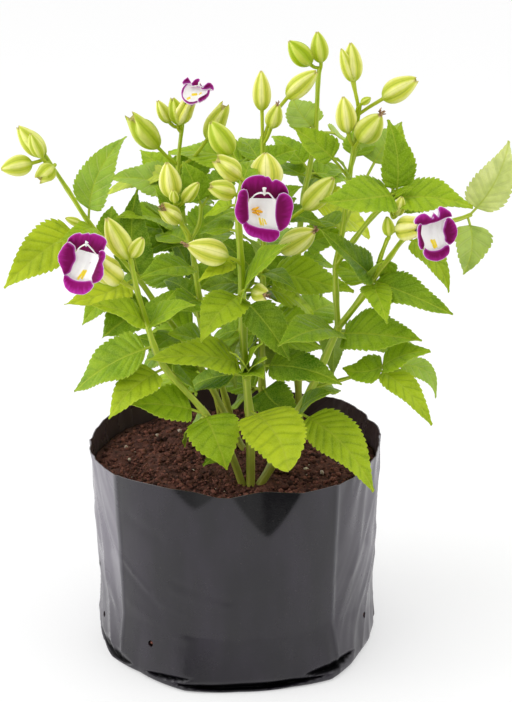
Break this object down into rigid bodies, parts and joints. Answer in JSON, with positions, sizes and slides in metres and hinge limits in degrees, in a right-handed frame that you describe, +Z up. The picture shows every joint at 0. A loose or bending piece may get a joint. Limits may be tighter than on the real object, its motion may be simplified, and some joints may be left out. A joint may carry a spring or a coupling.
{
  "type": "potted wishbone flower",
  "caption": "Bushy wishbone flower in a black film grow bag, with toothed leaves, ribbed green calyces and two-lipped purple and white blooms.",
  "frame": {"origin": "middle of the grow bag's flat underside", "axes": "+Z up the plant, +X to the picture viewer's right, -Y towards that viewer"},
  "size_m": [0.246, 0.1531, 0.3063],
  "materials": {
    "bag_film": "creased semi-gloss black film",
    "soil": "moist red-brown crumbs",
    "foliage": "soft satin leaf",
    "petals": "velvety petal",
    "stamens": "soft white"
  },
  "bodies": {
    "root": {"grow_bag": "bag_film", "potting_soil": "soil", "stem_centre": "foliage", "stem_left": "foliage", "stem_right": "foliage", "stem_far_left": "foliage", "stem_back_left": "foliage", "stem_mid_left": "foliage", "stem_back": "foliage", "stem_top": "foliage", "bloom_left": "petals", "wishbone_left": "stamens", "bloom_centre": "petals", "wishbone_centre": "stamens", "bloom_right": "petals", "wishbone_right": "stamens", "bloom_top": "petals", "wishbone_top": "stamens"}
  },
  "joints": []
}
